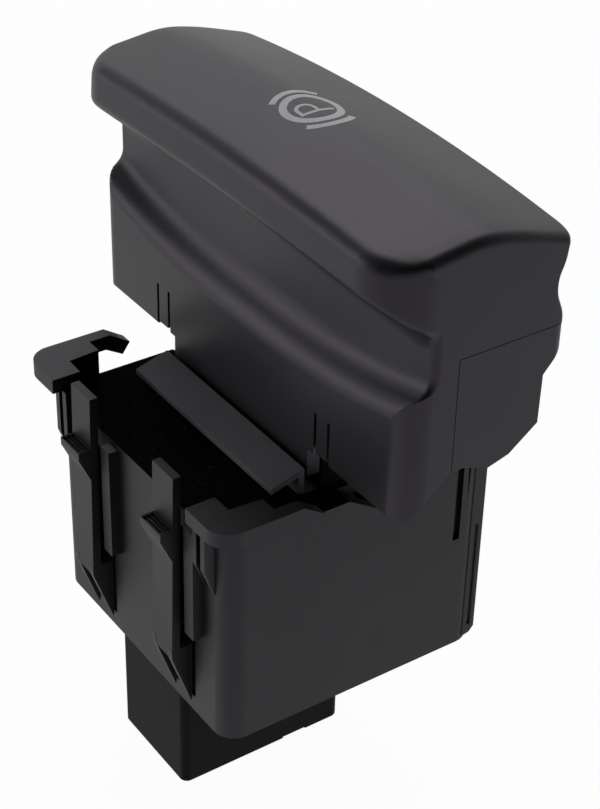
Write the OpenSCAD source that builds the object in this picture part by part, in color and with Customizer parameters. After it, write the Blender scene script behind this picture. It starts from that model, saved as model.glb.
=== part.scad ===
// Electric parking brake switch for a vehicle console.
// A rocking pull knob turns on two steel pins and drives a contact slider in a snap-in housing.
// Frame: origin at the housing's plan centre on the panel seat, which is the flange underside.
// +Z points up out of the panel, X runs along the knob, -Y is the side where the fingers pull.

/* [Housing] */
// Width of the housing along X
housing_w = 36; // [34:0.5:44]
// Depth of the housing along Y
housing_d = 34.4; // [33:0.2:42]
// Height of the housing below the panel seat
housing_h = 28.9; // [28:0.1:34]
// Wall thickness of the housing
wall_t = 1.6; // [1.2:0.1:2.2]
// Radius of the housing's upright corners
corner_r = 2.6; // [1:0.1:4]
// Depth of the top deck below the panel seat
deck_drop = 2.1; // [1.6:0.1:3]
// Thickness of the top deck
deck_t = 1.4; // [1:0.1:2]
// Length of each raised corner along the finger side
tower_run = 3.9; // [3:0.1:5]
// Length of each raised corner along the short side
tower_reach = 5; // [4:0.1:7]
// Wall thickness of the raised corners
tower_t = 1; // [0.8:0.1:1.4]

/* [Flange] */
// Thickness of the corner flanges
flange_t = 1.8; // [1.2:0.1:2.4]
// How far the flanges stand out past the short sides
flange_x = 2.7; // [2:0.1:4]
// How far the flanges stand out past the finger side
flange_y = 2.5; // [2:0.1:4]
// Corner radius of the flanges
flange_r = 2.8; // [1:0.1:4]
// Length of the flat part of a flange along Y
flange_run = 10.2; // [8.5:0.1:12]
// Width of the flange arm that ends in the bent tip
tip_w = 1.6; // [1:0.1:2.4]
// Length of the bent tip along Y
tip_run = 2.6; // [1.5:0.1:4]
// Fall of the bent tip
tip_fall = 1.7; // [0.8:0.1:2.2]

/* [Latch arms] */
// Distance of each latch arm from the middle
arm_x = 8.7; // [8:0.1:9.4]
// Width of a latch arm
arm_w = 4.1; // [3.4:0.1:4.6]
// Thickness of a latch arm
arm_t = 1; // [0.8:0.1:1.1]
// How far the arm's foot stands out from the wall
arm_stand = 2.4; // [2.2:0.1:3.2]
// How far the arm leans in towards its top
arm_lean = 0.5; // [0:0.1:0.6]
// Height of the arm's top above the panel seat
arm_top = 3.1; // [2:0.1:5]
// Height of the arm's foot above the housing's lower edge
foot_rise = 8; // [6:0.1:10]
// Gap between the tapered ribs and the housing's lower edge
rib_gap = 1; // [0.5:0.1:2]
// Thickness of a tapered rib
rib_t = 0.8; // [0.6:0.1:1.2]
// Gap beside each arm where the wall is open
arm_gap = 0.9; // [0.5:0.1:1.2]
// Depth of the catch's top below the panel seat
catch_drop = 3.4; // [2.6:0.1:6]
// How far the catch stands out from the arm
catch_out = 1.5; // [0.8:0.1:2]
// Height of the catch's upright nose
catch_nose = 1; // [0.6:0.1:1.6]
// Length of the catch's lead-in ramp
catch_ramp = 3.3; // [2:0.1:5]
// Depth of the three grip grooves on the catch
grip_cut = 0.3; // [0.1:0.05:0.4]

/* [Rails] */
// How far the guide rails stand out from the wall
rail_stand = 1.3; // [0.8:0.1:1.7]
// Width of the guide rail beside each arm
rail_w = 1.8; // [1.4:0.1:2.2]
// Length of the guide rails
rail_run = 14.2; // [10:0.1:20]
// Width of the fine ribs under the flanges
fine_rib_w = 0.8; // [0.5:0.1:1]
// Depth of the grooves in the short sides
groove_cut = 0.7; // [0.4:0.1:0.9]
// Width of the grooves in the short sides
groove_w = 0.9; // [0.5:0.1:1.2]
// Distance of the long groove from the rear wall
groove_from_rear = 3.9; // [3.4:0.1:5]

/* [Connector] */
// Outer width of the connector shroud along X
shroud_w = 14.1; // [12.5:0.1:16]
// Outer depth of the connector shroud along Y
shroud_d = 22.4; // [21:0.1:24]
// Height of the connector shroud below the housing
shroud_h = 17.2; // [12:0.1:20]
// Wall thickness of the shroud
shroud_t = 1.2; // [0.9:0.1:1.6]
// Corner radius of the shroud
shroud_r = 1; // [0.5:0.1:2]
// Place of the shroud along X
shroud_x = -1.5; // [-3:0.1:0]
// Place of the shroud along Y
shroud_y = -4; // [-4.5:0.1:-3]
// Thickness of the base plate
base_t = 1.6; // [1.2:0.1:2]
// Gap between the base plate and the housing walls
base_gap = 0.15; // [0.1:0.05:0.3]
// Terminals in each of the two rows
pin_count = 5; // [3:1:5]
// Spacing of the terminals in a row
pin_pitch = 3.6; // [3:0.1:3.8]
// Distance between the two rows
row_gap = 6; // [5.6:0.1:6.6]
// Width of a terminal
pin_w = 0.8; // [0.6:0.1:1]
// Length of a terminal inside the shroud
pin_run = 12.2; // [8:0.1:14]

/* [Apron] */
// Half length of the sloping apron
apron_half = 14; // [12:0.1:14.4]
// Place of the apron's upper edge along Y
apron_y = -4.9; // [-5.4:0.1:-4.8]
// Height of the apron's upper edge above the panel seat
apron_top = 1; // [0.4:0.1:1.6]
// Width of the apron along Y
apron_run = 4.2; // [3:0.1:5]
// Fall of the apron across its width
apron_fall = 1.2; // [0.4:0.1:1.4]
// Thickness of the apron
apron_t = 0.7; // [0.5:0.1:1]

/* [Knob] */
// Length of the knob
knob_l = 59.6; // [54:0.2:66]
// Place of the knob's lower front face along Y
skirt_y = -4.2; // [-4.3:0.1:-3.6]
// Height of the knob's lower edge above the panel seat
knob_rise = 2.7; // [2.5:0.1:4]
// Place of the lip's front face along Y
lip_y = -7.3; // [-8.5:0.1:-6.6]
// Height of the lip's lower edge above the panel seat
lip_low = 26.6; // [25:0.1:28]
// Height of the lip's upper edge above the panel seat
lip_top = 32; // [31.2:0.1:34]
// Height of the shallow dish in the top
dish_z = 32.4; // [31.6:0.1:33.4]
// Height of the ridge along the top
ridge_z = 33.2; // [32.6:0.1:34.4]
// Height of the rear upper edge
rear_z = 30.2; // [29.6:0.1:31]
// Place of the knob's rear face along Y
rear_y = 15.3; // [14.8:0.1:17]
// Rise of the ridge from the ends to the middle
ridge_crown = 1.9; // [0:0.1:3]
// Rise of the lip from the ends to the middle
lip_crown = 0.8; // [0:0.1:1.5]
// Depth of the finger hollow at the ends
hollow_ends = 2.8; // [2:0.1:3]
// Depth of the finger hollow in the middle
hollow_mid = 2.6; // [2:0.1:3]
// Height of the shoulder under the finger hollow, in the middle
shoulder_z = 12.9; // [12:0.1:14]
// Rise of that shoulder towards the ends
shoulder_rise = 3.7; // [0:0.1:4]
// Wall thickness of the knob
knob_t = 1.8; // [1.5:0.1:2]
// Radius of the knob's upright end corners
knob_r = 3; // [1:0.1:4]
// Radius of the lip's ends in plan
lip_r = 5.8; // [3:0.1:7]
// Half length of the tongue that drops behind the apron
tongue_half = 13.4; // [12:0.1:13.6]
// Drop of the tongue below the knob's lower edge
tongue_drop = 3.4; // [1:0.1:3.6]
// Place of the first slot of each spring tab along X
tab_x = 14.4; // [14:0.1:16]
// Width of the spring tabs beside the tongue
tab_w = 1.9; // [1.4:0.1:2.4]
// Width of the slots beside the spring tabs
slot_w = 0.45; // [0.3:0.05:0.8]
// Height of the slots
slot_h = 5.4; // [3:0.1:7]

/* [Lever] */
// Place of the pivot along Y
pivot_y = 4.6; // [4.2:0.1:5]
// Depth of the pivot below the panel seat
pivot_drop = 8; // [7:0.1:8.6]
// Radius of the pivot pins
pin_r = 1.5; // [1.2:0.1:1.8]
// Running clearance between pin and bush
run_fit = 0.06; // [0.03:0.01:0.1]
// Wall thickness of the bushes
bush_t = 0.8; // [0.6:0.1:1]
// Outer radius of the lever's hubs
hub_r = 3.6; // [3.4:0.1:4]
// Length of each hub
hub_l = 3.6; // [3:0.1:4.5]
// Side gap between hub and housing boss
side_gap = 0.3; // [0.2:0.05:0.5]
// Place of the seam between knob and lever along Y
seam_y = 1.6; // [1.2:0.1:2.4]
// Height of the seam between knob and lever
seam_z = 20.7; // [19.8:0.1:21.2]
// Gap of that seam
seam_gap = 0.15; // [0.1:0.05:0.3]
// Wall thickness of the lever
lever_t = 1.6; // [1.2:0.1:2]
// How deep the middle of the fingertips dips into the slider
tip_dip = 1.9; // [1.6:0.1:2.4]
// Radius of the drive fingertips
tip_r = 1.3; // [1:0.1:1.5]
// Running clearance of the fingertips in the slider
drive_fit = 0.1; // [0.05:0.01:0.2]
// Radius of the light guide
guide_r = 2.2; // [1.6:0.1:2.4]
// Radius of the light guide's head
head_r = 5.2; // [4:0.1:6]

// Angle that the knob is pulled, in degrees
pull_angle = 7; // [4:0.5:7]
// Angle that the knob is pushed, in degrees
push_angle = 3; // [1:0.5:3]

/* [Slider] */
// Half width of the slider
slider_half = 9; // [8.6:0.1:9.4]
// Length of the slider along Y
slider_l = 9; // [8:0.1:10]
// Height of the slider
slider_h = 4.7; // [4.4:0.1:5.2]
// Running clearance of the slider in its guide
slide_fit = 0.1; // [0.05:0.01:0.2]
// Free length of each return spring at rest
spring_l = 4.4; // [4:0.1:4.6]
// Mean radius of the return springs
spring_r = 1.6; // [1.4:0.1:1.8]
// Wire radius of the return springs
wire_r = 0.2; // [0.15:0.01:0.3]
// Turns of each return spring
spring_turns = 5; // [4:1:6]

/* [Circuit board] */
// Thickness of the circuit board
board_t = 1.6; // [1:0.1:1.6]
// Height of the board's underside above the base plate
board_rise = 1.7; // [1.5:0.1:2]
// Gap between the board and the housing walls
board_gap = 1.4; // [0.8:0.1:2]
// Thickness of the contact tracks
track_t = 0.1; // [0.05:0.01:0.15]

/* [Hidden] */
eps = 0.01;

arm_foot = housing_h - foot_rise;
rib_run = foot_rise - rib_gap;
half_w = housing_w / 2;
half_d = housing_d / 2;
in_w = half_w - wall_t;
in_d = half_d - wall_t;
seat_w = half_w + flange_x;
seat_d = half_d + flange_y;
base_top = -housing_h + base_t;
board_low = base_top + board_rise;
board_top = board_low + board_t;
pivot_z = -pivot_drop;
slider_low = board_top + 1.7;
slider_top = slider_low + slider_h;
drive_z = slider_top - tip_dip;
drive_r = pivot_z - drive_z;
wing_w = 1.1;
wing_h = 1.7;
guide_in = slider_half + slide_fit;
guide_wall = slider_half + wing_w + 1.5 * slide_fit;
guide_out = guide_wall + 1.5;
guide_top = slider_low + wing_h + slide_fit + 0.8;
bar_front = pivot_y - slider_l / 2 - spring_l;
bar_rear = pivot_y + slider_l / 2 + spring_l;
bar_t = 1.2;
spring_z = slider_low + slider_h / 2;
peg_r = spring_r - wire_r - 0.15;
peg_l = 0.9;
boss_in = half_w - wall_t - 2.2;
pin_end = half_w - 0.8;
hub_out = boss_in - side_gap;
hub_in = hub_out - hub_l;
bush_r = pin_r + run_fit + bush_t;
half_l = knob_l / 2;
pull_run = drive_r * pull_angle * PI / 180;
push_run = drive_r * push_angle * PI / 180;
screw_x = 8;
screw_y = -9.5;
screw_r = 0.95;
window_half = arm_w / 2 + arm_gap;
rear_boss = [12, 12.2];

// Rounded rectangle in plan, made of straight sides and true round corners
module plan_box(w, d, r) {
    square([w - 2 * r, d], center = true);
    square([w, d - 2 * r], center = true);
    for (sx = [-1, 1], sy = [-1, 1])
        translate([sx * (w / 2 - r), sy * (d / 2 - r)]) circle(r, $fn = 48);
}

// A slab between two heights
module slab(low, high) {
    translate([0, 0, low]) linear_extrude(high - low) children();
}

// A profile drawn in Y and Z, run along X between two places
module along_x(from, to) {
    translate([from, 0, 0]) rotate([90, 0, 90]) linear_extrude(to - from) children();
}

// A box given by its lowest and highest corners
module block(a, b) {
    translate(a) cube(b - a);
}

// A round bar along X
module bar_x(x0, x1, y, z, r) {
    translate([x0, y, z]) rotate([0, 90, 0]) cylinder(r = r, h = x1 - x0, $fn = 48);
}

// A round bar along Y
module bar_y(y0, y1, x, z, r) {
    translate([x, y0, z]) rotate([-90, 0, 0]) cylinder(r = r, h = y1 - y0, $fn = 32);
}

// Both sides of the part, which is alike left and right
module both_sides() {
    children();
    mirror([1, 0, 0]) children();
}

// Plan of one L-shaped corner, out to the flange's edges
module corner_plan() {
    x0 = half_w - tower_run;
    y1 = -half_d + tower_reach;
    polygon([[x0, -seat_d - 1], [seat_w + 1, -seat_d - 1], [seat_w + 1, y1],
             [half_w - tower_t, y1], [half_w - 1.3 * tower_t, -half_d + 1.1 * tower_t],
             [x0, -half_d + tower_t]]);
}

// The raised corner wall and the flange on it, with the bent tip at the end of its arm
module flange_corner() {
    crease_y = -seat_d + flange_run;
    slab(-deck_drop - eps, eps) intersection() {
        plan_box(housing_w, housing_d, corner_r);
        corner_plan();
    }
    slab(0, flange_t) intersection() {
        plan_box(2 * seat_w, 2 * seat_d, flange_r);
        corner_plan();
    }
    block([seat_w - tip_w, -half_d + tower_reach - 1, 0], [seat_w, crease_y, flange_t]);
    along_x(seat_w - tip_w, seat_w)
        polygon([[crease_y - 0.6, 0], [crease_y, flange_t], [crease_y + tip_run, flange_t - tip_fall],
                 [crease_y + tip_run - 1, flange_t - tip_fall - 1.4]]);
}

// One latch arm: a springy tongue, free at the top, on two tapered ribs
module latch_arm() {
    foot_y = -half_d - arm_stand;
    top_y = foot_y + arm_lean;
    rise = arm_foot + arm_top;
    catch_y = foot_y + arm_lean * (arm_foot - catch_drop) / rise;
    along_x(-arm_w / 2, arm_w / 2)
        polygon([[foot_y, -arm_foot], [top_y, arm_top], [top_y + arm_t, arm_top],
                 [foot_y + arm_t, -arm_foot]]);
    for (side = [-1, 1]) along_x(side * (arm_w - rib_t) / 2 - rib_t / 2, side * (arm_w - rib_t) / 2 + rib_t / 2)
        polygon([[foot_y, -arm_foot - eps], [foot_y, -arm_foot + 1.2], [-half_d + eps, -arm_foot + 1.2],
                 [-half_d + eps, -arm_foot - rib_run]]);
    difference() {
        along_x(-arm_w / 2, arm_w / 2)
            polygon([[catch_y + arm_t / 2, -catch_drop], [catch_y - catch_out, -catch_drop],
                     [catch_y - catch_out, -catch_drop - catch_nose],
                     [catch_y, -catch_drop - catch_nose - catch_ramp],
                     [catch_y + arm_t / 2, -catch_drop - catch_nose - catch_ramp]]);
        for (i = [0:2]) along_x(-arm_w / 2 + 0.3, arm_w / 2 - 0.3)
            translate([catch_y - catch_out * (i + 0.6) / 3.2, -catch_drop])
                polygon([[-grip_cut / 2, -grip_cut], [-grip_cut, grip_cut], [grip_cut, grip_cut],
                         [grip_cut / 2, -grip_cut]]);
    }
}

// The open windows in the wall behind an arm and beside its ribs
module arm_window() {
    low = -arm_foot - rib_run + 1.1;
    difference() {
        block([-window_half, -half_d - eps, low], [window_half, -in_d + eps, -deck_drop - deck_t - 1]);
        for (side = [-1, 1])
            block([side * (arm_w - rib_t) / 2 - rib_t / 2 - 0.1, -half_d - 1, low - 1],
                  [side * (arm_w - rib_t) / 2 + rib_t / 2 + 0.1, -in_d + 1, -arm_foot + 1.2]);
    }
}

// Grooves and the stepped corner near the rear of a short side
module side_relief() {
    long_y = half_d - groove_from_rear;
    block([half_w - groove_cut, long_y - groove_w / 2, -deck_drop - 11.3],
          [half_w + 1, long_y + groove_w / 2, 1]);
    along_x(half_w - groove_cut, half_w + 1)
        polygon([[long_y + groove_w / 2 + 0.5, 1], [long_y + groove_w / 2 + 1.1, 1],
                 [long_y + groove_w / 2 + 0.8, -deck_drop - 6.6]]);
    along_x(half_w - groove_cut, half_w + 1)
        polygon([[half_d - 0.8, -13.9], [half_d + 1, -13.9], [half_d + 1, -housing_h + 0.5],
                 [half_d - 0.4, -housing_h + 0.5]]);
}

// Saddle in the top of a short side, over the pivot
module side_saddle() {
    along_x(in_w - 1, half_w + 1)
        polygon([[pivot_y - 6.4, 1], [pivot_y - 6.4, -deck_drop], [pivot_y - 2.9, -deck_drop - 2.2],
                 [pivot_y + 4.1, -deck_drop - 2.2], [pivot_y + 7.6, -deck_drop], [pivot_y + 7.6, 1]]);
}

// Moulded housing with its deck, flanges, latch arms and pivot bosses
module housing() {
    rail_top = -deck_drop - 0.5;
    color("#454246") difference() {
        union() {
            slab(-housing_h, -deck_drop) plan_box(housing_w, housing_d, corner_r);
            both_sides() flange_corner();
            for (x = [-arm_x, arm_x]) translate([x, 0, 0]) latch_arm();
            for (x = [-arm_x, arm_x])
                block([x + window_half, -half_d - rail_stand, rail_top - rail_run],
                      [x + window_half + rail_w, -half_d + eps, rail_top]);
            both_sides() for (i = [0:1])
                along_x(half_w - 3 - i * 2 * fine_rib_w, half_w - 3 - (2 * i - 1) * fine_rib_w)
                    polygon([[-half_d + eps, 0], [-half_d - rail_stand, 0], [-half_d - rail_stand, -6],
                             [-half_d + eps, -9.5]]);
        }
        slab(-housing_h - 1, -deck_drop - deck_t)
            plan_box(2 * in_w, 2 * in_d, corner_r - min(wall_t, corner_r - 0.3));
        block([-in_w + 2.2, apron_y - 0.45, -deck_drop - deck_t - 1], [in_w - 2.2, half_d - 2.7, 1]);
        for (x = [-arm_x, arm_x]) translate([x, 0, 0]) arm_window();
        both_sides() side_relief();
        both_sides() side_saddle();
        both_sides() bar_x(boss_in - 1, pin_end, pivot_y, pivot_z, pin_r);
    }
    color("#454246") both_sides() difference() {
        bar_x(boss_in, in_w + eps, pivot_y, pivot_z, hub_r - 0.6);
        bar_x(boss_in - 1, pin_end, pivot_y, pivot_z, pin_r);
    }
}

// Base plate with the connector shroud, the board's bosses and the snap tongues
module base() {
    plate_w = 2 * (in_w - base_gap);
    plate_d = 2 * (in_d - base_gap);
    low = -housing_h - shroud_h;
    color("#3a393b") difference() {
        union() {
            slab(-housing_h, base_top) plan_box(plate_w, plate_d, 0.8);
            translate([shroud_x, shroud_y, 0]) slab(low, -housing_h + eps) plan_box(shroud_w, shroud_d, shroud_r);
            for (x = [-screw_x, screw_x])
                translate([x, screw_y, base_top - eps]) cylinder(r = 2.2, h = board_rise + eps, $fn = 32);
            for (x = [-1, 1])
                translate([x * rear_boss[0], rear_boss[1], base_top - eps])
                    cylinder(r = 1.6, h = board_rise + eps, $fn = 32);
        }
        translate([shroud_x, shroud_y, 0]) slab(low - 1, -housing_h)
            plan_box(shroud_w - 2 * shroud_t, shroud_d - 2 * shroud_t, max(0.3, shroud_r - shroud_t / 2));
        for (x = [-screw_x, screw_x])
            translate([x, screw_y, -housing_h + 0.3]) cylinder(r = screw_r + 0.05, h = 10, $fn = 32);
        terminal_places() block([-pin_w / 2 - 0.05, -0.35, -housing_h - 1], [pin_w / 2 + 0.05, 0.35, base_top + 1]);
        block([shroud_x + shroud_w / 2 - shroud_t - 1, shroud_y + 3, low - 1],
              [shroud_x + shroud_w / 2 + 1, shroud_y + 6.2, low + 1.4]);
    }
    color("#3a393b") for (y = [-1, 1])
        block([shroud_x - 0.7, shroud_y + y * (shroud_d / 2 - shroud_t - 0.5) - 0.5, low + 2],
              [shroud_x + 0.7, shroud_y + y * (shroud_d / 2 - shroud_t - 0.5) + 0.5, -housing_h]);
}

// Sloping apron in front of the knob, on its upright web in the deck opening
module apron() {
    web_y = apron_y - 0.1;
    color("#454446") {
        along_x(-apron_half, apron_half)
            polygon([[apron_y, apron_top], [apron_y - apron_run, apron_top - apron_fall],
                     [apron_y - apron_run, apron_top - apron_fall - apron_t],
                     [web_y - apron_t, apron_top - apron_t * 1.25], [web_y - apron_t, -deck_drop],
                     [apron_y, -deck_drop]]);
        block([-apron_half + 2, apron_y - 0.4, -deck_drop - deck_t - 0.6],
              [apron_half - 2, apron_y, -deck_drop + eps]);
    }
}

// Two steel pins slid out through the lever's hubs into the blind bosses of the short sides
module pivot_pins() {
    color("#b9bcc0") both_sides() difference() {
        bar_x(hub_in + 0.3, pin_end, pivot_y, pivot_z, pin_r);
        bar_x(hub_in, hub_in + 0.6, pivot_y, pivot_z, pin_r * 0.35);
    }
}

// Places of all the terminals
module terminal_places() {
    for (row = [-1, 1], i = [0:pin_count - 1])
        translate([shroud_x + row * row_gap / 2, shroud_y + (i - (pin_count - 1) / 2) * pin_pitch, 0]) children();
}

// Circuit board that lies on the base's bosses
module circuit_board() {
    color("#1f5a3a") difference() {
        slab(board_low, board_top) plan_box(2 * (in_w - board_gap), 2 * (in_d - board_gap), 1);
        for (x = [-screw_x, screw_x]) translate([x, screw_y, board_low - 1])
            cylinder(r = screw_r + 0.15, h = 4, $fn = 32);
        terminal_places() block([-pin_w / 2 - 0.05, -0.35, board_low - 1], [pin_w / 2 + 0.05, 0.35, board_top + 1]);
    }
}

// Gilded tracks that the wipers run on
module contact_tracks() {
    color("#c9a24a") both_sides() {
        block([5.2, pivot_y - 5.4, board_top], [6.6, pivot_y + 5.4, board_top + track_t]);
        block([7.2, pivot_y - 5.4, board_top], [8.6, pivot_y - 0.4, board_top + track_t]);
        block([7.2, pivot_y + 0.2, board_top], [8.6, pivot_y + 5.4, board_top + track_t]);
    }
}

// Tinned terminals from the board down into the shroud
module terminals() {
    color("#c8c6bd") terminal_places() {
        block([-pin_w / 2, -0.3, -housing_h - pin_run + 0.6], [pin_w / 2, 0.3, board_top + 0.7]);
        translate([0, 0, -housing_h - pin_run + 0.6])
            rotate([180, 0, 0]) linear_extrude(0.6, scale = 0.5) square([pin_w, 0.6], center = true);
    }
}

// Light source under the light guide
module symbol_led() {
    color("#e8e6d8") {
        block([-1.4, pivot_y - 1, board_top], [1.4, pivot_y + 1, board_top + 0.8]);
        translate([0, pivot_y, board_top + 0.8 - eps]) cylinder(r1 = 0.9, r2 = 0.7, h = 0.4, $fn = 24);
    }
}

// Row of chip resistors beside the guide
module resistors() {
    edge = in_w - board_gap;
    color("#2a2a2e") for (i = [0:3])
        block([edge - 1.4, bar_front - 2.6 - i * 2, board_top], [edge - 0.4, bar_front - 1 - i * 2, board_top + 0.5]);
}

// Chip capacitors on the other side
module capacitors() {
    edge = in_w - board_gap;
    color("#a98a5c") for (i = [0:1])
        block([-edge + 0.4, bar_front - 4 - i * 3, board_top], [-edge + 1.4, bar_front - 2 - i * 3, board_top + 0.9]);
}

// Moulded guide on the board: two channels, two spring bars and two screw ears
module slider_guide() {
    channel_low = board_top;
    rear_end = bar_rear + bar_t;
    front_end = bar_front - bar_t;
    color("#55525a") {
        both_sides() difference() {
            block([guide_in, front_end, channel_low], [guide_out, rear_end, guide_top]);
            block([guide_in - 1, bar_front, slider_low - slide_fit],
                  [guide_wall, bar_rear, slider_low + wing_h + slide_fit]);
        }
        block([-guide_out, front_end, channel_low + 1], [guide_out, bar_front, guide_top]);
        block([-guide_out, bar_rear, channel_low + 1], [guide_out, rear_end, guide_top]);
        bar_y(bar_front - eps, bar_front + peg_l, 0, spring_z, peg_r);
        bar_y(bar_rear - peg_l, bar_rear + eps, 0, spring_z, peg_r);
        both_sides() difference() {
            block([screw_x - 2.4, screw_y - 2.4, board_top], [screw_x + 2.4, front_end + eps, board_top + 1.2]);
            translate([screw_x, screw_y, board_top - 1]) cylinder(r = screw_r + 0.15, h = 4, $fn = 32);
        }
    }
}

// Two screws through the guide's ears and the board
module guide_screws() {
    color("#9a9da1") for (x = [-screw_x, screw_x]) translate([x, screw_y, 0]) difference() {
        union() {
            translate([0, 0, board_top + 1.2]) cylinder(r1 = 1.9, r2 = 1.6, h = 1.1, $fn = 32);
            translate([0, 0, -housing_h + 0.6]) cylinder(r = screw_r, h = board_top + 1.3 + housing_h - 0.6, $fn = 32);
        }
        for (a = [0, 90]) translate([0, 0, board_top + 2.3]) rotate([0, 0, a]) cube([2, 0.4, 1], center = true);
    }
}

// A coil spring along Y, as a round wire swept along a helix
module coil(y0, y1) {
    sides = 6;
    steps = 12;
    rings = spring_turns * steps;
    run = y1 - y0 - 2 * wire_r;
    points = [for (k = [0:rings]) let (a = 360 * k / steps, y = y0 + wire_r + run * k / rings)
              for (s = [0:sides - 1]) let (b = 360 * s / sides, r = spring_r + wire_r * cos(b))
              [r * cos(a), y + wire_r * sin(b), spring_z + r * sin(a)]];
    sleeve = [for (k = [0:rings - 1], s = [0:sides - 1])
              let (a = k * sides + s, b = k * sides + (s + 1) % sides)
              each [[a, b, b + sides], [a, b + sides, a + sides]]];
    cap_a = [for (s = [sides - 1:-1:0]) s];
    cap_b = [for (s = [0:sides - 1]) rings * sides + s];
    polyhedron(points, concat(sleeve, [cap_a, cap_b]));
}

// Return spring on the finger side
module front_spring() {
    color("#b9bcc0") coil(bar_front, bar_front + spring_l);
}

// Return spring on the rear side
module rear_spring() {
    color("#b9bcc0") coil(bar_rear - spring_l, bar_rear);
}

// Rubber pads on the guide's bars, which end the slider's travel both ways
module stop_pads() {
    high = guide_top - 0.2;
    color("#1c1c1d") both_sides() {
        block([4.4, bar_front, high - 2], [7.4, pivot_y - slider_l / 2 - pull_run - slide_fit, high]);
        block([4.4, pivot_y + slider_l / 2 + push_run + slide_fit, high - 2], [7.4, bar_rear, high]);
    }
}

// Corner blended into a short curve of n steps; a radius of 0 keeps the point
function blend_corner(a, b, c, r, n) =
    let (la = norm(a - b), lc = norm(c - b), t = min(r, 0.48 * la, 0.48 * lc))
    r == 0 ? [b] : [for (k = [0:n]) let (s = k / n, u = 1 - s)
        u * u * (b + t * (a - b) / la) + 2 * s * u * b + s * s * (b + t * (c - b) / lc)];

// Outline with all its corners blended
function blend_outline(p, r, n) = let (m = len(p)) [for (i = [0:m - 1])
    each blend_corner(p[(i + m - 1) % m], p[i], p[(i + 1) % m], r[i], n)];

// Bulge that is 1 in the middle of the knob and 0 at its ends
function bulge(x) = 1 - pow(min(1, abs(x) / half_l), 2);

// How far a round corner of radius r has turned in at x
function end_inset(x, r) = let (u = max(0, abs(x) - (half_l - r))) r - sqrt(max(0, r * r - u * u));

// Section of the knob at x, drawn in Y and Z, shrunk by dy and dz and with its own lower edge
function knob_section(x, dy, dz, low) =
    let (e = min(1, abs(x) / half_l),
         zr = shoulder_z + shoulder_rise * pow(e, 2.5),
         zc = shoulder_z + 2.4 + 0.75 * shoulder_rise * pow(e, 3),
         yh = skirt_y + max(end_inset(x, knob_r), hollow_ends + (hollow_mid - hollow_ends) * bulge(x)),
         wall = dy - end_inset(x, knob_r),
         lift = lip_crown * bulge(x),
         ly = lip_y + dy + end_inset(x, lip_r) - end_inset(x, knob_r),
         crown = ridge_crown * bulge(x),
         back = 0.5 * crown)
    [[skirt_y + dy, low], [skirt_y + dy, zr], [yh + wall, zc], [yh + wall, lip_low - 3.1 + lift],
     [ly + 1.2, lip_low + lift + 0.6 * dz], [ly, lip_low + 1.2 + lift],
     [ly + 0.3, lip_top + lift - dz], [-2.6, dish_z + lift + 0.3 * crown - dz],
     [4.2, ridge_z + crown - dz], [8.6, ridge_z - 0.9 + 0.9 * crown - dz],
     [rear_y - 0.5 * dy, rear_z + back - dz], [rear_y - 0.2 - 0.5 * dy, rear_z - 2.6 + back],
     [rear_y - 1 - 0.5 * dy, rear_z - 4.2 + 0.5 * back], [rear_y - 1 - 0.5 * dy, seam_z + 3.4],
     [rear_y - 0.5 * dy, seam_z + 1], [rear_y - 0.5 * dy, low]];
knob_blend = [0.3, 2.2, 3, 2, 0.8, 1.4, 1.9, 5, 5, 5, 1.4, 1, 1.2, 1.2, 0.8, 0.3];

// Solid through a row of like sections at places along X. A section runs up its front and down its rear,
// so an end is closed by rungs between the two.
module loft(places, sections) {
    m = len(sections[0]);
    n = len(places);
    last = (n - 1) * m;
    points = [for (i = [0:n - 1]) for (p = sections[i]) [places[i], p[0], p[1]]];
    sides = [for (i = [0:n - 2], k = [0:m - 1]) let (a = i * m + k, b = i * m + (k + 1) % m)
             each [[a, b + m, a + m], [a, b, b + m]]];
    ends = [for (k = [0:m / 2 - 2])
            each [[m - 1 - k, m - 2 - k, k + 1, k], [last + k, last + k + 1, last + m - 2 - k, last + m - 1 - k]]];
    polyhedron(points, concat(sides, ends));
}

// Places along the knob: close together where the ends are rounded
turn = [for (a = [0:22.5:90]) a];
places_right = [for (a = turn) half_l - knob_r + knob_r * sin(a)];
places_mid = [for (i = [-6:6]) i / 7 * (half_l - knob_r)];
knob_places = concat([for (i = [len(turn) - 1:-1:0]) -places_right[i]], places_mid, places_right);

// Outer form of the knob, solid
module knob_form() {
    loft(knob_places, [for (x = knob_places) let (e = end_inset(x, knob_r))
        blend_outline(knob_section(x, e, 0.27 * e, knob_rise), knob_blend, 3)]);
}

// Hollow of the knob, open at the bottom
module knob_hollow() {
    inner = half_l - knob_t;
    places = [for (i = [-4:4]) i / 4 * inner];
    loft(places, [for (x = places) blend_outline(knob_section(x, knob_t, knob_t, -20), knob_blend * 0.5, 1)]);
}

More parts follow.
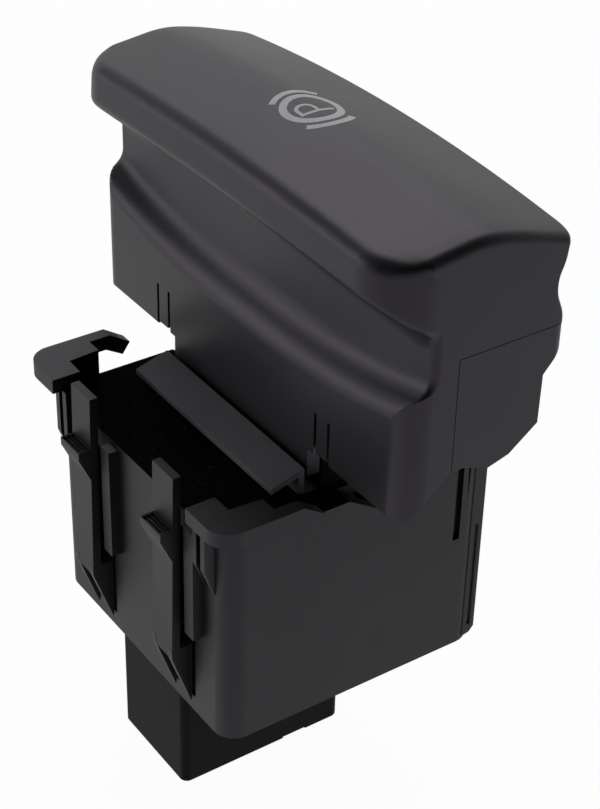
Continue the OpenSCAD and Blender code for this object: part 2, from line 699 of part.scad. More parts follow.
// Knob shell with its finger lip, tongue and spring tabs
module knob() {
    slot_a = tab_x;
    slot_b = tab_x + slot_w + tab_w;
    color("#59565a") difference() {
        union() {
            difference() {
                knob_form();
                knob_hollow();
                block([-half_l - 1, seam_y, -1], [half_l + 1, rear_y + 2, seam_z]);
                along_x(-half_l - 1, half_l + 1)
                    polygon([[skirt_y + 1.35, knob_rise - 1], [skirt_y + 1.35, knob_rise + 0.8],
                             [seam_y - 0.1, knob_rise + 4.7], [seam_y + 1, knob_rise + 4.7],
                             [seam_y + 1, knob_rise - 1]]);
            }
            block([-tongue_half, skirt_y, knob_rise - tongue_drop],
                  [tongue_half, skirt_y + knob_t - 0.2, knob_rise + 1]);
        }
        both_sides() {
            block([slot_a, skirt_y - 1, knob_rise - 1], [slot_a + slot_w, skirt_y + 3, knob_rise + slot_h]);
            block([slot_b, skirt_y - 1, knob_rise - 1], [slot_b + slot_w, skirt_y + 3, knob_rise + slot_h]);
            translate([0, skirt_y + 3, 0]) rotate([90, 0, 0]) linear_extrude(4)
                polygon([[slot_a, knob_rise - 1], [slot_a, knob_rise + 1.6], [slot_b, knob_rise + 0.5],
                         [slot_b + 0.6, knob_rise - 1]]);
        }
    }
}

// Outline of the lever's trough, drawn in Y and Z and shrunk by t
function trough_outline(t) = [
    [seam_y + seam_gap + t, seam_z - seam_gap], [rear_y - t, seam_z - seam_gap],
    [rear_y - t, seam_z - 2.6 + 0.4 * t], [rear_y - 2.6 - t, seam_z - 5.5 + 0.4 * t],
    [rear_y - 2.7 - t, knob_rise + 6.8 + 0.5 * t], [rear_y - 6.2 - 0.5 * t, knob_rise + 4.2 + t],
    [rear_y - 8.8, knob_rise + 3.5 + t], [rear_y - 12, knob_rise + 4.7 + t],
    [seam_y + seam_gap + t, knob_rise + 4.7 + t]];

// Lever: the trough that closes the knob's rear, its hubs, drive fingers and light guide socket
module lever() {
    web_low = knob_rise + 5;
    color("#333133") difference() {
        union() {
            difference() {
                intersection() {
                    along_x(-half_l, half_l) polygon(trough_outline(0));
                    slab(-1, seam_z) plan_box(knob_l, 2 * rear_y, 1.5);
                }
                along_x(-half_l + lever_t, half_l - lever_t)
                    polygon(concat([[seam_y + seam_gap + lever_t, seam_z + 1], [rear_y - lever_t, seam_z + 1]],
                                   [for (i = [2:8]) trough_outline(lever_t)[i]]));
            }
            both_sides() bar_x(hub_in, hub_out, pivot_y, pivot_z, hub_r);
            both_sides() block([hub_in, pivot_y - 3, pivot_z], [hub_out, pivot_y + 3, web_low]);
            block([-hub_in - eps, pivot_y + 1, pivot_z + 1], [hub_in + eps, pivot_y + 3, web_low]);
            both_sides() {
                block([5.3, pivot_y - 1, drive_z], [7.7, pivot_y + 1, pivot_z + 2]);
                bar_x(5.3, 7.7, pivot_y, drive_z, tip_r);
                block([5.3, pivot_y - 1, pivot_z + 1], [hub_in + eps, pivot_y + 3, pivot_z + 3]);
            }
            translate([0, pivot_y, -1]) cylinder(r = guide_r + 1.4, h = seam_z - 2, $fn = 48);
            block([-20, skirt_y + knob_t + 0.2, knob_rise + 6.4], [20, seam_y + seam_gap + 0.5, knob_rise + 8]);
        }
        translate([0, pivot_y, -10]) cylinder(r = guide_r + 0.05, h = 40, $fn = 48);
        both_sides() bar_x(hub_in - 1, hub_out + 1, pivot_y, pivot_z, bush_r);
    }
}

// Acetal bushes pressed in the lever's hubs, running on the pins
module bushes() {
    color("#d9d6cc") both_sides() difference() {
        bar_x(hub_in, hub_out, pivot_y, pivot_z, bush_r);
        bar_x(hub_in - 1, hub_out + 1, pivot_y, pivot_z, pin_r + run_fit);
    }
}

// Clear light guide up to the underside of the knob's top
module light_guide() {
    head_z = ridge_z - knob_t - 1.6;
    color("#dfe6ea") translate([0, pivot_y, 0]) rotate_extrude($fn = 48)
        polygon([[0, -4], [guide_r, -4], [guide_r, head_z - 5], [head_r, head_z - 0.6], [head_r, head_z], [0, head_z]]);
}

// Spring clip that holds the light guide in its socket
module guide_clip() {
    clip_z = seam_z - 3;
    color("#9a9da1") difference() {
        translate([0, pivot_y, clip_z]) cylinder(r = guide_r + 1.2, h = 0.6, $fn = 48);
        translate([0, pivot_y, clip_z - 1]) cylinder(r = guide_r + 0.02, h = 3, $fn = 48);
        block([-9, pivot_y - 9, clip_z - 1], [9, seam_y + seam_gap + lever_t + 0.1, clip_z + 2]);
    }
}

// Contact slider with wings for its guide and slots for the drive fingers
module slider() {
    y0 = pivot_y - slider_l / 2;
    y1 = pivot_y + slider_l / 2;
    color("#e4e0d4") {
        difference() {
            union() {
                block([-slider_half, y0, slider_low], [slider_half, y1, slider_top]);
                block([-slider_half - wing_w, y0, slider_low], [slider_half + wing_w, y1, slider_low + wing_h]);
            }
            both_sides() block([4.9, pivot_y - tip_r - drive_fit, drive_z - tip_r - 0.2],
                               [8.1, pivot_y + tip_r + drive_fit, slider_top + 1]);
            block([-3.2, pivot_y - 2.6, slider_low - 1], [3.2, pivot_y + 2.6, slider_top + 1]);
        }
        bar_y(y0 - peg_l, y0 + eps, 0, spring_z, peg_r);
        bar_y(y1 - eps, y1 + peg_l, 0, spring_z, peg_r);
    }
}

// Bronze wiper springs under the slider
module wipers() {
    low = board_top + track_t + 0.03;
    color("#b98a4e") both_sides() for (x = [5.4, 7.4])
        along_x(x, x + 1)
            polygon([[pivot_y - 3, slider_low], [pivot_y - 3, slider_low - 0.25], [pivot_y - 0.4, low + 0.1],
                     [pivot_y, low], [pivot_y + 0.4, low + 0.1], [pivot_y + 0.8, low + 0.7],
                     [pivot_y + 0.5, low + 0.8], [pivot_y, low + 0.3], [pivot_y - 2.6, slider_low - 0.05],
                     [pivot_y - 2.6, slider_low]]);
}

housing();
base();
apron();
pivot_pins();
circuit_board();
contact_tracks();
terminals();
symbol_led();
resistors();
capacitors();
slider_guide();
guide_screws();
front_spring();
rear_spring();
stop_pads();
knob();
lever();
bushes();
light_guide();
guide_clip();
slider();
wipers();
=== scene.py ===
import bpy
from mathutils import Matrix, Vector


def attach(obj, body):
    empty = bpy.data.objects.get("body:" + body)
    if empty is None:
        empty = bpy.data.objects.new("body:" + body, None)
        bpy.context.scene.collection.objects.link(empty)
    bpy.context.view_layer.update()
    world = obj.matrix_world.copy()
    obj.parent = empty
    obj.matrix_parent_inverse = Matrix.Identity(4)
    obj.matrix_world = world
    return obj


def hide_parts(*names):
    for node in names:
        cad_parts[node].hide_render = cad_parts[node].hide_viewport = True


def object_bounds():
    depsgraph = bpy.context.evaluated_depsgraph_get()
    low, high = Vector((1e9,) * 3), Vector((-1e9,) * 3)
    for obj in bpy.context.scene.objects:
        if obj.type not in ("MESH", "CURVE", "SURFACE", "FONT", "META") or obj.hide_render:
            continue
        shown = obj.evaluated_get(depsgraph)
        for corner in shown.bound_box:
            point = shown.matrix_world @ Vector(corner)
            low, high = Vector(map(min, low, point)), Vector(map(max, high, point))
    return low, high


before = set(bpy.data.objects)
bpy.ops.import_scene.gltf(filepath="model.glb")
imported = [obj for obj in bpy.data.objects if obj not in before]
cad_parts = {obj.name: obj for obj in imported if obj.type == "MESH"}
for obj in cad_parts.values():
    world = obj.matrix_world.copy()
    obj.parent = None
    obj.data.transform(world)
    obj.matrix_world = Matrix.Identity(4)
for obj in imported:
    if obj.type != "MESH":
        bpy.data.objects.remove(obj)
cad_box = [list(corner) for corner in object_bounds()]

import math
import bmesh
import bpy
from mathutils import Matrix, Vector
from mathutils.bvhtree import BVHTree

# ---------------------------------------------------------------- Camera
# The photograph looks down on the finger side and the right end of the switch.
# The camera was fitted to the edges of the housing, the flanges and the knob.
camera_data = bpy.data.cameras.new("camera")
camera = bpy.data.objects.new("camera", camera_data)
bpy.context.scene.collection.objects.link(camera)
camera_data.sensor_width = 36
camera_data.lens = 85.592
right = Vector((0.56396, 0.82552, 0.02142))
down = Vector((0.46578, -0.29657, -0.83372))
ahead = Vector((-0.68191, 0.48017, -0.55177))
turn = Matrix((right, -down, -ahead)).transposed().to_4x4()
camera.matrix_world = Matrix.Translation((0.148370, -0.100358, 0.118090)) @ turn
camera_data.clip_start = 0.01
camera_data.clip_end = 20
bpy.context.scene.camera = camera
bpy.context.scene.view_settings.view_transform = "Standard"

# ---------------------------------------------------------------- Satin moulded plastics
# Knob, lever, housing and base are injection moulded in black: ABS where the hand touches,
# glass-filled nylon below. Each comes from a spark-eroded tool, so its gloss is broken by a fine grain.
MM = 0.001


def linear(code):
    """An sRGB hex colour as linear light."""
    parts = [int(code[i:i + 2], 16) / 255 for i in (1, 3, 5)]
    return tuple(c / 12.92 if c <= 0.04045 else ((c + 0.055) / 1.055) ** 2.4 for c in parts) + (1.0,)


def new_material(name):
    """An empty material; its node tree, its shader and its output."""
    material = bpy.data.materials.new(name)
    material.use_nodes = True
    tree = material.node_tree
    tree.nodes.clear()
    output = tree.nodes.new("ShaderNodeOutputMaterial")
    shader = tree.nodes.new("ShaderNodeBsdfPrincipled")
    tree.links.new(shader.outputs[0], output.inputs["Surface"])
    return material, tree, shader


def add(tree, kind, inputs=(), **settings):
    """A node with its settings, and its inputs set or linked by socket name or number."""
    node = tree.nodes.new(kind)
    for name, value in settings.items():
        setattr(node, name, value)
    for socket, value in dict(inputs).items():
        if isinstance(value, bpy.types.NodeSocket):
            tree.links.new(value, node.inputs[socket])
        else:
            node.inputs[socket].default_value = value
    return node


def moulded(name, dark, light, roughness, gloss, grain_mm, bump, streak=0.0):
    """Moulded plastic: two close tones in soft clouds, and a spark-eroded grain of a given size."""
    material, tree, shader = new_material(name)
    place = add(tree, "ShaderNodeTexCoord").outputs["Object"]
    cloud = add(tree, "ShaderNodeTexNoise", {"Vector": place, "Scale": 1 / (14 * MM), "Detail": 3.0, "Roughness": 0.6})
    stretched = add(tree, "ShaderNodeMapping", {"Vector": place, "Scale": (1.0, 1.0, 0.08)})
    lines = add(tree, "ShaderNodeTexNoise", {"Vector": stretched.outputs[0], "Scale": 1 / (1.5 * MM), "Detail": 2.0})
    blend = add(tree, "ShaderNodeMix", {"Factor": streak, "A": cloud.outputs["Fac"], "B": lines.outputs["Fac"]})
    ramp = add(tree, "ShaderNodeValToRGB", {"Fac": blend.outputs[0]})
    ramp.color_ramp.elements[0].position, ramp.color_ramp.elements[0].color = 0.3, linear(dark)
    ramp.color_ramp.elements[1].position, ramp.color_ramp.elements[1].color = 0.7, linear(light)
    tree.links.new(ramp.outputs["Color"], shader.inputs["Base Color"])
    grain = add(tree, "ShaderNodeTexNoise", {"Vector": place, "Scale": 1 / (grain_mm * MM), "Detail": 2.0})
    relief = add(tree, "ShaderNodeBump", {"Strength": bump, "Distance": 0.04 * MM, "Height": grain.outputs["Fac"]})
    tree.links.new(relief.outputs["Normal"], shader.inputs["Normal"])
    rub = add(tree, "ShaderNodeMapRange", {"Value": cloud.outputs["Fac"], "To Min": roughness - 0.05, "To Max": roughness + 0.05})
    tree.links.new(rub.outputs["Result"], shader.inputs["Roughness"])
    shader.inputs["IOR"].default_value = 1.5
    shader.inputs["Specular Tint"].default_value = linear("#f6edf8")
    shader.inputs["Specular IOR Level"].default_value = gloss
    return material


# ---------------------------------------------------------------- Knob
# Hollow ABS moulding with the finger lip, a long tongue behind the apron and a spring tab at each end.
# Its skin is the same row of sections as the CAD knob, only finer, with soft moulded edges.
knob_l, skirt_y, knob_rise, lip_y, lip_low, lip_top = 59.6, -4.2, 2.7, -7.3, 26.6, 32.0
dish_z, ridge_z, rear_z, rear_y = 32.4, 33.2, 30.2, 15.3
ridge_crown, lip_crown, hollow_ends, hollow_mid, hollow_edge = 1.88, 0.8, 2.8, 2.6, 0.9
shoulder_z, shoulder_rise, knob_t, knob_r, lip_r = 12.9, 3.7, 1.8, 3.0, 5.8
seam_y, seam_z, tongue_half, tongue_drop = 1.6, 20.7, 13.4, 3.4
tab_x, tab_w, slot_w, slot_h = 14.4, 1.9, 0.45, 5.4
half_l = knob_l / 2
knob_blend = [0.3, 2.2, 3, 2, 0.6, 1.2, 1.7, 5, 5, 5, 0.4, 1, 1.2, 1.2, 0.8, 0.3]


def end_inset(x, r):
    """How far a round corner of radius r has turned in at x."""
    u = max(0.0, abs(x) - (half_l - r))
    return r - math.sqrt(max(0.0, r * r - u * u))


def knob_section(x, dy, dz, low):
    """The knob's section at x, in Y and Z. The finger hollow runs straight out through the round corners."""
    e = min(1.0, abs(x) / half_l)
    bulge = 1 - e * e
    corner, turn_in, edge = end_inset(x, knob_r), end_inset(x, lip_r), end_inset(x, hollow_edge)
    depth = hollow_ends + (hollow_mid - hollow_ends) * bulge
    zr = shoulder_z + shoulder_rise * e ** 2.5
    zc = shoulder_z + 2.4 + 0.75 * shoulder_rise * e ** 3
    front = skirt_y + dy - corner
    yh = front + depth + edge
    lift, crown = lip_crown * bulge, ridge_crown * bulge
    ly, fall = lip_y + dy + turn_in - corner, 0.62 * turn_in - 0.5 * edge
    back = 0.5 * crown
    rear = rear_y - 0.33 * corner - 0.5 * (dy - corner)
    return [(front, low), (front, zr - 0.5 * edge), (yh, zc - 0.3 * edge), (yh, lip_low - 3.1 + lift),
            (min(ly + 1.2, yh - 0.05), lip_low + lift + 0.6 * dz - fall), (ly, lip_low + 1.2 + lift - fall),
            (ly + 0.3, lip_top + lift - dz - 0.12 * turn_in),
            (-2.6, dish_z + lift + 0.3 * crown - dz), (4.2, ridge_z + crown - dz),
            (8.6, ridge_z - 0.9 + 0.9 * crown - dz), (rear, rear_z + crown - 0.6 * dz),
            (rear - 0.3, rear_z - 2.6 + back), (rear - 1, rear_z - 4.2 + 0.5 * back),
            (rear - 1, seam_z + 3.4), (rear, seam_z + 1), (rear, low)]


def blend_outline(points, radii, steps):
    """Outline with every corner turned into a short parabola."""
    out = []
    for i, (b, r) in enumerate(zip(points, radii)):
        a, b, c = Vector(points[i - 1]), Vector(b), Vector(points[(i + 1) % len(points)])
        la, lc = (a - b).length, (c - b).length
        t = min(r, 0.48 * la, 0.48 * lc)
        for k in range(steps + 1):
            s = k / steps
            u = 1 - s
            out.append(u * u * (b + t * (a - b) / la) + 2 * s * u * b + s * s * (b + t * (c - b) / lc))
    return out


def link(name, mesh):
    """A new object for a mesh, in the scene."""
    piece = bpy.data.objects.new(name, mesh)
    bpy.context.scene.collection.objects.link(piece)
    return piece


def from_bmesh(name, bm):
    """A new object from a bmesh, with its faces turned outwards."""
    bmesh.ops.recalc_face_normals(bm, faces=bm.faces)
    mesh = bpy.data.meshes.new(name)
    bm.to_mesh(mesh)
    bm.free()
    return link(name, mesh)


def loft(name, places, sections):
    """A closed solid through a row of sections, its ends closed by rungs; sizes in millimetres."""
    bm = bmesh.new()
    rings = [[bm.verts.new((x * MM, p[0] * MM, p[1] * MM)) for p in s] for x, s in zip(places, sections)]
    m = len(rings[0])
    for one, two in zip(rings, rings[1:]):
        for k in range(m):
            bm.faces.new((one[k], two[k], two[(k + 1) % m], one[(k + 1) % m]))
    for ring in (rings[0], rings[-1]):
        for k in range(m // 2 - 1):
            bm.faces.new((ring[m - 1 - k], ring[m - 2 - k], ring[k + 1], ring[k]))
    return from_bmesh(name, bm)


def prism(name, x0, x1, outline):
    """A solid along X with an outline in Y and Z; sizes in millimetres."""
    bm = bmesh.new()
    a, b = ([bm.verts.new((x * MM, y * MM, z * MM)) for y, z in outline] for x in (x0, x1))
    bm.faces.new(a)
    bm.faces.new(b)
    for k in range(len(outline)):
        bm.faces.new((a[k], a[k - 1], b[k - 1], b[k]))
    return from_bmesh(name, bm)


def cut(piece, tools, operation="DIFFERENCE"):
    """Cuts the tools from a piece, or joins them to it, and deletes them."""
    for tool in tools:
        step = piece.modifiers.new("cut", "BOOLEAN")
        step.operation, step.object, step.solver = operation, tool, "EXACT"
    graph = bpy.context.evaluated_depsgraph_get()
    mesh = bpy.data.meshes.new_from_object(piece.evaluated_get(graph))
    piece.modifiers.clear()
    piece.data = mesh
    for tool in tools:
        bpy.data.objects.remove(tool)


def box_of(x0, x1, y0, y1, z0, z1):
    """The outline of a box for prism(), with its two places along X."""
    return x0, x1, [(y0, z0), (y1, z0), (y1, z1), (y0, z1)]


def soften(piece, width_mm, angle=35):
    """A small moulded radius along every sharp edge, with smooth shading between."""
    for polygon in piece.data.polygons:
        polygon.use_smooth = True
    weld = piece.modifiers.new("weld", "WELD")
    weld.merge_threshold = 0.002 * MM
    flat = piece.modifiers.new("flat", "DECIMATE")
    flat.decimate_type, flat.angle_limit = "DISSOLVE", math.radians(0.5)
    edge = piece.modifiers.new("edge", "BEVEL")
    edge.width, edge.segments, edge.limit_method = width_mm * MM, 2, "ANGLE"
    edge.angle_limit, edge.harden_normals, edge.use_clamp_overlap = math.radians(angle), True, True
    edge.miter_outer = "MITER_ARC"
    shading = piece.modifiers.new("shading", "WEIGHTED_NORMAL")
    shading.weight, shading.keep_sharp = 100, True


def outline_at(x, dy, dz, low, scale, steps):
    """The blended section at x, trimmed below the finger hollow by the round corner of the skirt."""
    points = blend_outline(knob_section(x, dy, dz, low), [r * scale for r in knob_blend], steps)
    return [Vector((max(p[0], skirt_y + dy), p[1])) if p[1] < 21.5 else p for p in points]


turns = [math.radians(a) for a in range(0, 91, 6)]
right_end = [half_l - knob_r + knob_r * math.sin(a) for a in turns]
lip_turn = [half_l - lip_r + (lip_r - knob_r) * i / 6 for i in range(1, 6)]
middle = [i / 24 * (half_l - lip_r) for i in range(-24, 25)]
places = sorted([-x for x in right_end + lip_turn] + middle + lip_turn + right_end)
knob = loft("knob_shell", places, [outline_at(x, end_inset(x, knob_r), 0.08 * end_inset(x, knob_r) + end_inset(x, 1),
                                             knob_rise, 1, 8) for x in places])
inner = [i / 12 * (half_l - knob_t) for i in range(-12, 13)]
hollow = loft("hollow", inner, [outline_at(x, knob_t, knob_t, -20, 0.5, 3) for x in inner])
rear_cut = prism("rear_cut", *box_of(-half_l - 1, half_l + 1, seam_y + 0.06, rear_y + 2, -1, seam_z - 0.06))
foot_cut = prism("foot_cut", -half_l - 1, half_l + 1,
                 [(skirt_y + 1.35, knob_rise - 1), (skirt_y + 1.35, knob_rise + 0.8), (seam_y - 0.1, knob_rise + 4.7),
                  (seam_y + 1, knob_rise + 4.7), (seam_y + 1, knob_rise - 1)])
cut(knob, [hollow, rear_cut, foot_cut])
tongue = prism("tongue", *box_of(-tongue_half, tongue_half, skirt_y, skirt_y + knob_t - 0.2,
                                 knob_rise - tongue_drop, knob_rise + 1))
cut(knob, [tongue], "UNION")
slots = []
for side in (-1, 1):
    for x in (tab_x, tab_x + slot_w + tab_w):
        x0, x1 = sorted((side * x, side * (x + slot_w)))
        slots.append(prism("slot", *box_of(x0, x1, skirt_y - 1, skirt_y + 3, knob_rise - 1, knob_rise + slot_h)))
    x0, x1 = sorted((side * tab_x, side * (tab_x + slot_w + tab_w)))
    slots.append(prism("tab_end", *box_of(x0, x1, skirt_y - 1, skirt_y + 3, knob_rise - 1, knob_rise + 0.5)))
cut(knob, slots)
soften(knob, 0.12, 40)
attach(knob, "rocker")
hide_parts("knob")
satin_abs = moulded("satin_moulded_abs", "#28262a", "#2f2d31", 0.42, 0.5, 0.22, 0.35)
knob.data.materials.clear()
knob.data.materials.append(satin_abs)

# ---------------------------------------------------------------- Parking brake sign
# Generic sign for a parking brake, printed in light grey on the crown of the knob:
# a letter in a ring between two arcs. It is a thin film that follows the crown.
sign_x, sign_y, film = 0.53, 4.29, 0.012
surface = BVHTree.FromObject(knob, bpy.context.evaluated_depsgraph_get())


def on_crown(u, v):
    """Point of the sign, u to its right and v up, laid on the knob's top; sizes in millimetres."""
    x, y = sign_x - u, sign_y - v
    hit = surface.ray_cast(Vector((x * MM, y * MM, 60 * MM)), Vector((0, 0, -1)))[0]
    return (x * MM, y * MM, hit.z + film * MM)


def ribbon(bm, path, width, closed=False):
    """A strip of even width along a path of the sign, with straight ends."""
    pairs = []
    for i, p in enumerate(path):
        a = Vector(path[i - 1] if i or closed else p)
        b = Vector(path[(i + 1) % len(path)] if i < len(path) - 1 or closed else p)
        along = (b - a).normalized()
        across = Vector((-along.y, along.x)) * width / 2
        pairs.append([bm.verts.new(on_crown(*(Vector(p) + s * across))) for s in (-1, -0.33, 0.33, 1)])
    for one, two in zip(pairs, pairs[1:] + (pairs[:1] if closed else [])):
        for k in range(3):
            bm.faces.new((one[k], one[k + 1], two[k + 1], two[k]))


def arc_points(radius, start, end, steps, centre=(0, 0)):
    """Points along an arc, angles in degrees from the sign's right."""
    return [(centre[0] + radius * math.cos(math.radians(start + (end - start) * k / steps)),
             centre[1] + radius * math.sin(math.radians(start + (end - start) * k / steps))) for k in range(steps + 1)]


bm = bmesh.new()
ribbon(bm, arc_points(3.0, 0, 360, 72)[:-1], 0.84, closed=True)
ribbon(bm, arc_points(4.27, -42, 42, 24), 0.74)
ribbon(bm, arc_points(4.27, 138, 222, 24), 0.74)
stem = [(-1.0, -2.05 + 4.1 * k / 10) for k in range(11)]
bowl = [(-1.0 + 0.22 * k, 1.83) for k in range(4)] + arc_points(1.02, 90, -90, 14, (-0.1, 0.81)) \
    + [(-0.38 - 0.21 * k, -0.21) for k in range(3)]
ribbon(bm, stem, 0.42)
ribbon(bm, bowl, 0.42)
sign = from_bmesh("parking_brake_sign", bm)
for polygon in sign.data.polygons:
    polygon.use_smooth = True
if sum(p.normal.z for p in sign.data.polygons) < 0:
    sign.data.flip_normals()
grey_ink, tree, shader = new_material("light_grey_pad_print")
place = add(tree, "ShaderNodeTexCoord").outputs["Object"]
speckle = add(tree, "ShaderNodeTexNoise", {"Vector": place, "Scale": 1 / (0.3 * MM), "Detail": 2.0})
ink = add(tree, "ShaderNodeValToRGB", {"Fac": speckle.outputs["Fac"]})
ink.color_ramp.elements[0].position, ink.color_ramp.elements[0].color = 0.35, linear("#d2ced3")
ink.color_ramp.elements[1].position, ink.color_ramp.elements[1].color = 0.65, linear("#e2dee3")
tree.links.new(ink.outputs["Color"], shader.inputs["Base Color"])
shader.inputs["Roughness"].default_value = 0.55
sign.data.materials.append(grey_ink)
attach(sign, "rocker")

# ---------------------------------------------------------------- Housing, apron, base and lever
# Housing and base are glass-filled nylon, duller and greyer than the knob, with fine flow lines; the base's copy is
# painted darker and less glossy as painted shade, and the apron's nylon is painted paler as painted light from above.
# The lever is the same ABS as the knob from a rougher tool, painted paler as painted light. Edges get the small radius
# of the tool.


def dress(node, material, edge_mm=0.0):
    """Gives a CAD node its material, and a small radius along its edges."""
    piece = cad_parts[node]
    piece.data.materials.clear()
    piece.data.materials.append(material)
    if edge_mm:
        soften(piece, edge_mm)


nylon = moulded("glass_filled_nylon", "#19181a", "#201f21", 0.5, 0.5, 0.18, 0.5, streak=0.5)
# The apron's nylon is painted much paler than the housing's: painted light from above.
lit_apron_nylon = moulded("apron_nylon_painted_light", "#67646a", "#747177", 0.6, 0.5, 0.12, 0.9)
# The base's nylon is painted darker and less glossy than the housing's: painted shade.
shaded_base_nylon = moulded("base_nylon_painted_shade", "#0b0a0c", "#111012", 0.58, 0.12, 0.2, 0.4, streak=0.3)
# The lever's ABS is painted paler than the knob's: painted light.
lit_lever_abs = moulded("lever_abs_painted_light", "#423f44", "#49464b", 0.48, 0.5, 0.2, 0.4)
dress("housing", nylon, 0.12)
dress("apron", lit_apron_nylon, 0.1)
dress("base", shaded_base_nylon, 0.1)
dress("lever", lit_lever_abs, 0.12)

# Painted shade on the deck before the knob: a near-black film that reflects almost nothing stands for the shade
# under the apron and the knob, with pale dust specks in it. The film lies on the CAD's own deck faces.
bm = bmesh.new()
bm.from_mesh(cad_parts["housing"].data)
bmesh.ops.delete(bm, context="FACES", geom=[face for face in bm.faces if face.normal.z < 0.95
                                            or abs(face.calc_center_median().z + 2.1 * MM) > 0.05 * MM])
bmesh.ops.translate(bm, verts=bm.verts, vec=(0, 0, 0.03 * MM))
mesh = bpy.data.meshes.new("deck_painted_shade_film")
bm.to_mesh(mesh)
bm.free()
deck_shade_film = link("deck_painted_shade_film", mesh)
painted_shade_flock, tree, shader = new_material("painted_shade_flock_with_dust")
place = add(tree, "ShaderNodeTexCoord").outputs["Object"]
cells = add(tree, "ShaderNodeTexVoronoi", {"Vector": place, "Scale": 1 / (0.7 * MM)})
speck = add(tree, "ShaderNodeMapRange", {"Value": cells.outputs["Distance"], "From Min": 0.13, "From Max": 0.09})
drift = add(tree, "ShaderNodeTexNoise", {"Vector": place, "Scale": 1 / (4 * MM), "Detail": 4.0})
where = add(tree, "ShaderNodeMapRange", {"Value": drift.outputs["Fac"], "From Min": 0.48, "From Max": 0.6})
dusty = add(tree, "ShaderNodeMath", {0: speck.outputs["Result"], 1: where.outputs["Result"]}, operation="MULTIPLY")
# Near-black painted shade, mixed with pale dust where the specks fall.
shade_and_dust = add(tree, "ShaderNodeMix", {"Factor": dusty.outputs[0], "A": linear("#0a090a"), "B": linear("#6a676a")},
            data_type="RGBA")
tree.links.new(shade_and_dust.outputs["Result"], shader.inputs["Base Color"])
tuft = add(tree, "ShaderNodeTexNoise", {"Vector": place, "Scale": 1 / (0.25 * MM), "Detail": 3.0})
relief = add(tree, "ShaderNodeBump", {"Strength": 0.9, "Distance": 0.1 * MM, "Height": tuft.outputs["Fac"]})
tree.links.new(relief.outputs["Normal"], shader.inputs["Normal"])
# Full roughness and a weak specular take the reflection out of the painted shade.
shader.inputs["Roughness"].default_value = 1.0
shader.inputs["Specular IOR Level"].default_value = 0.08
deck_shade_film.data.materials.append(painted_shade_flock)
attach(deck_shade_film, "case")

# A thin bridge closes most of the key slot in the mouth of the connector shroud.
bridge = prism("shroud_key_bridge", *box_of(4.36, 5.54, -1, 2.2, -45.85, -44.7))
bridge.data.materials.append(shaded_base_nylon)
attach(bridge, "case")

# The moulding's two rear corners are square, where the CAD has a round: a square post fills each,
# with a narrow groove beside it in its lower part, as the split line of the tool leaves it.
for side in (-1, 1):
    x0, x1 = sorted((side * 15.6, side * 17.98))
    post = prism("rear_corner_post", x0, x1, [(15.4, -28.6), (16.5, -28.4), (17.18, -27.6), (17.18, -1.9), (15.4, -1.9)])
    x0, x1 = sorted((side * 17.6, side * 18.2))
    cut(post, [prism("split", *box_of(x0, x1, 16.1, 16.5, -27, -12.4))])
    soften(post, 0.15)
    post.data.materials.append(nylon)
    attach(post, "case")

# ---------------------------------------------------------------- Mechanism
# What shows only through the deck opening and the windows: steel pins and springs, acetal bushes
# and slider, the board with its gilded tracks, bronze wipers and tinned terminals.


def metal(name, tone, roughness):
    """Bare metal with a faint drawn or rolled unevenness."""
    material, tree, shader = new_material(name)
    place = add(tree, "ShaderNodeTexCoord").outputs["Object"]
    drawn = add(tree, "ShaderNodeTexNoise", {"Vector": place, "Scale": 1 / (0.4 * MM), "Detail": 2.0})
    rub = add(tree, "ShaderNodeMapRange", {"Value": drawn.outputs["Fac"], "To Min": roughness - 0.08, "To Max": roughness + 0.08})
    tree.links.new(rub.outputs["Result"], shader.inputs["Roughness"])
    shader.inputs["Base Color"].default_value = linear(tone)
    shader.inputs["Metallic"].default_value = 1.0
    return material


steel = metal("bright_drawn_steel", "#b9bcc0", 0.3)
tin = metal("tinned_brass", "#cfccc2", 0.35)
gold = metal("gilded_copper", "#d9b25a", 0.3)
bronze = metal("phosphor_bronze", "#c08f55", 0.35)
acetal = moulded("black_acetal", "#161617", "#1e1e1f", 0.4, 0.5, 0.3, 0.1)
guide_pbt = moulded("grey_pbt", "#504d55", "#5a575f", 0.5, 0.4, 0.2, 0.3)
pad_rubber = moulded("black_rubber", "#161616", "#1d1d1d", 0.75, 0.3, 0.2, 0.5)
mask = moulded("green_solder_mask", "#174a30", "#1f5a3a", 0.3, 0.5, 0.6, 0.15)
chip_dark = moulded("chip_resistor_glaze", "#1c1c20", "#26262a", 0.3, 0.5, 0.3, 0.1)
chip_tan = moulded("chip_capacitor_ceramic", "#9c7f52", "#a98a5c", 0.5, 0.4, 0.2, 0.2)
lamp_white = moulded("led_package_white", "#dddbcd", "#e8e6d8", 0.4, 0.5, 0.3, 0.1)
clear, tree, shader = new_material("clear_acrylic")
shader.inputs["Base Color"].default_value = linear("#eef3f5")
shader.inputs["Transmission Weight"].default_value = 0.9
shader.inputs["IOR"].default_value = 1.49
place = add(tree, "ShaderNodeTexCoord").outputs["Object"]
haze = add(tree, "ShaderNodeTexNoise", {"Vector": place, "Scale": 1 / (3 * MM)})
rub = add(tree, "ShaderNodeMapRange", {"Value": haze.outputs["Fac"], "To Min": 0.02, "To Max": 0.1})
tree.links.new(rub.outputs["Result"], shader.inputs["Roughness"])
for node, material in {"pivot_pins": steel, "front_spring": steel, "rear_spring": steel, "guide_screws": steel,
                       "guide_clip": steel, "terminals": tin, "contact_tracks": gold, "wipers": bronze,
                       "bushes": acetal, "slider": acetal, "slider_guide": guide_pbt, "stop_pads": pad_rubber,
                       "circuit_board": mask, "resistors": chip_dark, "capacitors": chip_tan,
                       "symbol_led": lamp_white, "light_guide": clear}.items():
    dress(node, material)

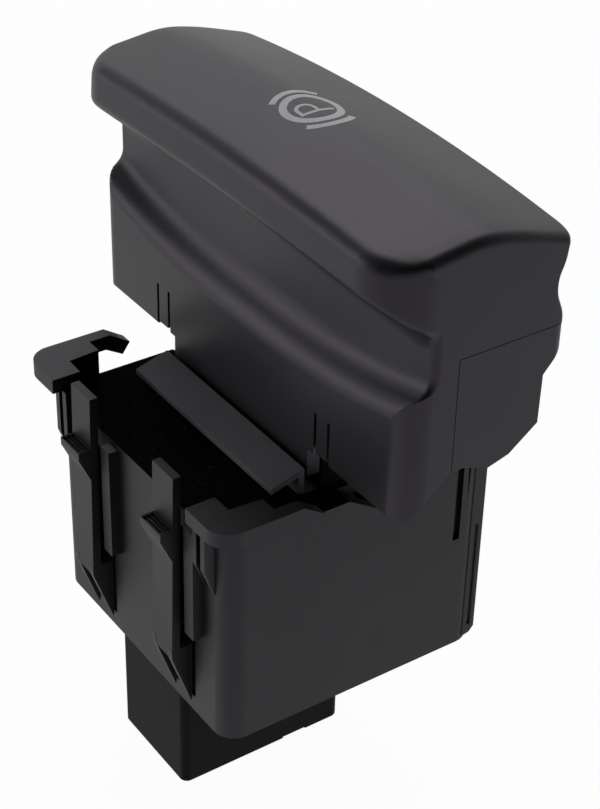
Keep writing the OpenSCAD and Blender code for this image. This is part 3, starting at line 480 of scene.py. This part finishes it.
# ---------------------------------------------------------------- Floor and light
# White studio sweep under the connector, a large soft light above the finger side and a weak fill.
# Camera, glossy and transmitted rays see the sweep as white; the rest of the light bounces off it as pale grey.
floor_z = cad_box[0][2]
bm = bmesh.new()
bmesh.ops.create_grid(bm, x_segments=1, y_segments=1, size=2.5)
floor = from_bmesh("floor", bm)
floor.location = (0, 0, floor_z - 0.0002)
pale, tree, shader = new_material("pale_studio_floor")
output = next(n for n in tree.nodes if n.type == "OUTPUT_MATERIAL")
shader.inputs["Base Color"].default_value = linear("#dcdcdc")
shader.inputs["Roughness"].default_value = 0.9
ray = add(tree, "ShaderNodeLightPath")
seen = add(tree, "ShaderNodeMath", {0: ray.outputs["Is Camera Ray"], 1: ray.outputs["Is Transmission Ray"]}, operation="MAXIMUM")
white = add(tree, "ShaderNodeEmission", {"Color": (1, 1, 1, 1), "Strength": 1.03})
share = add(tree, "ShaderNodeMixShader", {"Fac": 0.06, 1: white.outputs[0], 2: shader.outputs[0]})
sheen = add(tree, "ShaderNodeEmission", {"Color": (1, 1, 1, 1), "Strength": 0.75})
rest = add(tree, "ShaderNodeMixShader", {"Fac": ray.outputs["Is Glossy Ray"], 1: shader.outputs[0], 2: sheen.outputs[0]})
mix = add(tree, "ShaderNodeMixShader", {"Fac": seen.outputs[0], 1: rest.outputs[0], 2: share.outputs[0]})
tree.links.new(mix.outputs[0], output.inputs["Surface"])
floor.data.materials.append(pale)

world = bpy.data.worlds.new("studio")
bpy.context.scene.world = world
world.use_nodes = True
tree = world.node_tree
tree.nodes.clear()
ray = add(tree, "ShaderNodeLightPath")
seen = add(tree, "ShaderNodeMath", {0: ray.outputs["Is Camera Ray"], 1: ray.outputs["Is Transmission Ray"]}, operation="MAXIMUM")
toward = add(tree, "ShaderNodeTexCoord").outputs["Generated"]
near = add(tree, "ShaderNodeVectorMath", {0: toward, 1: (0.58, -0.35, 0.73)}, operation="DOT_PRODUCT")
dark_side = add(tree, "ShaderNodeMapRange", {"Value": near.outputs["Value"], "From Min": -0.15, "From Max": 0.5,
                                             "To Min": 0.75, "To Max": 0.01})
room = add(tree, "ShaderNodeBackground", {"Color": (1, 1, 1, 1), "Strength": dark_side.outputs["Result"]})
bright = add(tree, "ShaderNodeBackground", {"Color": (1, 1, 1, 1), "Strength": 1.0})
mix = add(tree, "ShaderNodeMixShader", {"Fac": seen.outputs[0], 1: room.outputs[0], 2: bright.outputs[0]})
add(tree, "ShaderNodeOutputWorld", {"Surface": mix.outputs[0]})


def softbox(name, place, aim, size, watts):
    """A square studio light at a place, facing a point; both in metres."""
    data = bpy.data.lights.new(name, "AREA")
    data.shape, data.size, data.energy = "SQUARE", size, watts
    lamp = bpy.data.objects.new(name, data)
    bpy.context.scene.collection.objects.link(lamp)
    lamp.location = place
    lamp.rotation_euler = (Vector(aim) - Vector(place)).to_track_quat("-Z", "Y").to_euler()


softbox("overhead_softbox", (-0.35, 0.25, 0.6), (0, 0, 0.02), 0.5, 1.35)
softbox("finger_side_softbox", (-0.45, -0.60, 0.15), (0, 0, 0), 0.4, 0.8)
